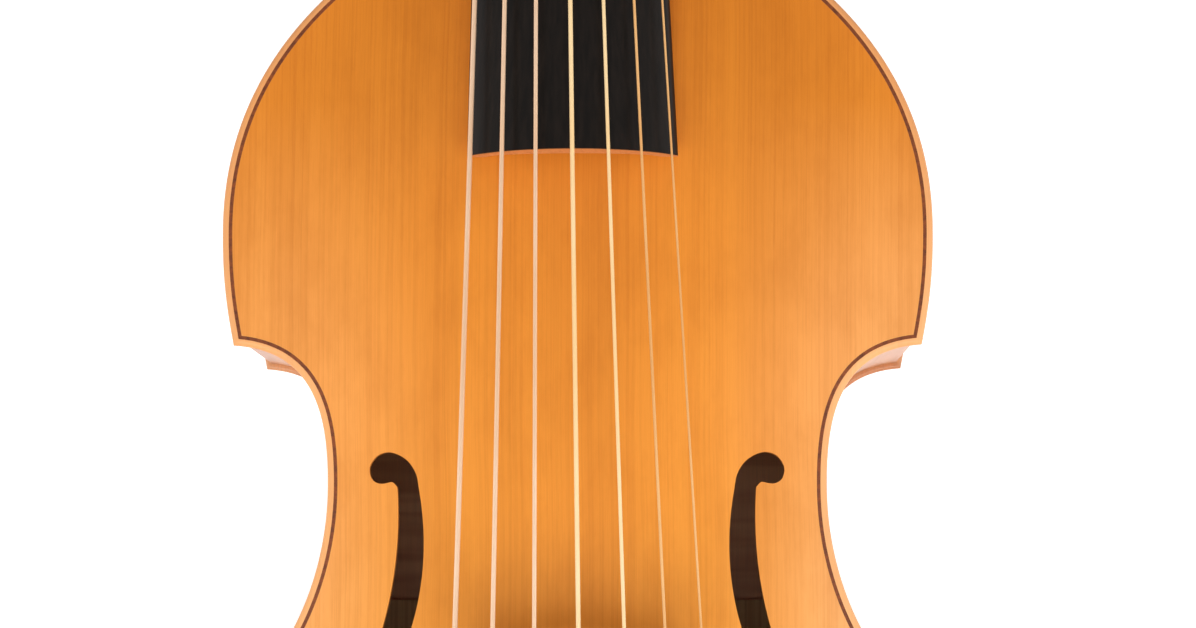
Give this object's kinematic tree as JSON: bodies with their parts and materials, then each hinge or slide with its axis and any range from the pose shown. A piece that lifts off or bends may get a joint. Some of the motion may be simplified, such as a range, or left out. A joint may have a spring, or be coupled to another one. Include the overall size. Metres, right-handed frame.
{
  "type": "viol",
  "caption": "Bass viol with a flat folded back, arched front with C-shaped sound holes, tied frets that slide and tuning pegs that turn.",
  "frame": {"origin": "on the back's flat outer face, under the middle of the body at the bridge", "axes": "+X towards the treble side, +Y up the neck, +Z out of the front; the viol lies on its back"},
  "size_m": [0.3882, 1.2448, 0.2278],
  "materials": {
    "varnished_spruce": "satin varnish",
    "varnished_maple": "satin varnish",
    "plain_maple": "scraped, unvarnished",
    "bare_spruce": "planed, unvarnished",
    "ebony": "polished",
    "boxwood": "polished",
    "bone": "polished bone",
    "gut": "smooth, dry",
    "overspun_gut": "wound with fine wire"
  },
  "bodies": {
    "body": {"front": "varnished_spruce", "back": "varnished_maple", "neck": "varnished_maple", "bridge": "plain_maple", "hook_bar": "varnished_maple", "fingerboard_veneer": "ebony", "tailpiece": "ebony", "nut": "bone", "fingerboard_core": "bare_spruce", "bass_upper_rib": "varnished_maple", "bass_waist_rib": "varnished_maple", "bass_lower_rib": "varnished_maple", "treble_upper_rib": "varnished_maple", "treble_waist_rib": "varnished_maple", "treble_lower_rib": "varnished_maple", "bass_upper_front_lining": "bare_spruce", "bass_upper_back_lining": "bare_spruce", "bass_waist_front_lining": "bare_spruce", "bass_waist_back_lining": "bare_spruce", "bass_lower_front_lining": "bare_spruce", "bass_lower_back_lining": "bare_spruce", "treble_upper_front_lining": "bare_spruce", "treble_upper_back_lining": "bare_spruce", "treble_waist_front_lining": "bare_spruce", "treble_waist_back_lining": "bare_spruce", "treble_lower_front_lining": "bare_spruce", "treble_lower_back_lining": "bare_spruce", "bass_upper_corner_block": "bare_spruce", "bass_lower_corner_block": "bare_spruce", "treble_upper_corner_block": "bare_spruce", "treble_lower_corner_block": "bare_spruce", "top_block": "bare_spruce", "end_block": "bare_spruce", "bass_bar": "bare_spruce", "sound_post": "bare_spruce", "sound_post_plate": "bare_spruce", "fold_bar": "bare_spruce", "lower_back_bar": "bare_spruce", "string_1": "overspun_gut", "string_2": "overspun_gut", "string_3": "overspun_gut", "string_4": "gut", "string_5": "gut", "string_6": "gut", "string_7": "gut"},
    "peg_1_body": {"peg_1": "boxwood"},
    "peg_2_body": {"peg_2": "boxwood"},
    "peg_3_body": {"peg_3": "boxwood"},
    "peg_4_body": {"peg_4": "boxwood"},
    "peg_5_body": {"peg_5": "boxwood"},
    "peg_6_body": {"peg_6": "boxwood"},
    "peg_7_body": {"peg_7": "boxwood"},
    "fret_1_body": {"fret_1": "gut"},
    "fret_2_body": {"fret_2": "gut"},
    "fret_3_body": {"fret_3": "gut"},
    "fret_4_body": {"fret_4": "gut"},
    "fret_5_body": {"fret_5": "gut"},
    "fret_6_body": {"fret_6": "gut"},
    "fret_7_body": {"fret_7": "gut"}
  },
  "joints": [
    {"name": "peg_1_turn", "type": "hinge", "parent": "body", "child": "peg_1_body", "pos_m": [-0.00997, 0.72027, 0.07576], "axis": [-1, 0, 0], "continuous": true},
    {"name": "peg_2_turn", "type": "hinge", "parent": "body", "child": "peg_2_body", "pos_m": [-0.0104, 0.74487, 0.0703], "axis": [1, 0, 0], "continuous": true},
    {"name": "peg_3_turn", "type": "hinge", "parent": "body", "child": "peg_3_body", "pos_m": [-0.01083, 0.76948, 0.06485], "axis": [-1, 0, 0], "continuous": true},
    {"name": "peg_4_turn", "type": "hinge", "parent": "body", "child": "peg_4_body", "pos_m": [-0.01126, 0.79408, 0.0594], "axis": [1, 0, 0], "continuous": true},
    {"name": "peg_5_turn", "type": "hinge", "parent": "body", "child": "peg_5_body", "pos_m": [-0.01169, 0.81868, 0.05394], "axis": [-1, 0, 0], "continuous": true},
    {"name": "peg_6_turn", "type": "hinge", "parent": "body", "child": "peg_6_body", "pos_m": [-0.01212, 0.84328, 0.04849], "axis": [1, 0, 0], "continuous": true},
    {"name": "peg_7_turn", "type": "hinge", "parent": "body", "child": "peg_7_body", "pos_m": [-0.01255, 0.86789, 0.04303], "axis": [-1, 0, 0], "continuous": true},
    {"name": "fret_1_slide", "type": "slide", "parent": "body", "child": "fret_1_body", "axis": [-0.0173, 0.9895, -0.1435], "range_m": [-0.004, 0.004]},
    {"name": "fret_2_slide", "type": "slide", "parent": "body", "child": "fret_2_body", "axis": [-0.0173, 0.9895, -0.1435], "range_m": [-0.004, 0.004]},
    {"name": "fret_3_slide", "type": "slide", "parent": "body", "child": "fret_3_body", "axis": [-0.0173, 0.9895, -0.1435], "range_m": [-0.004, 0.004]},
    {"name": "fret_4_slide", "type": "slide", "parent": "body", "child": "fret_4_body", "axis": [-0.0173, 0.9895, -0.1435], "range_m": [-0.004, 0.004]},
    {"name": "fret_5_slide", "type": "slide", "parent": "body", "child": "fret_5_body", "axis": [-0.0173, 0.9895, -0.1435], "range_m": [-0.004, 0.004]},
    {"name": "fret_6_slide", "type": "slide", "parent": "body", "child": "fret_6_body", "axis": [-0.0173, 0.9895, -0.1435], "range_m": [-0.004, 0.004]},
    {"name": "fret_7_slide", "type": "slide", "parent": "body", "child": "fret_7_body", "axis": [-0.0173, 0.9895, -0.1435], "range_m": [-0.004, 0.004]}
  ]
}
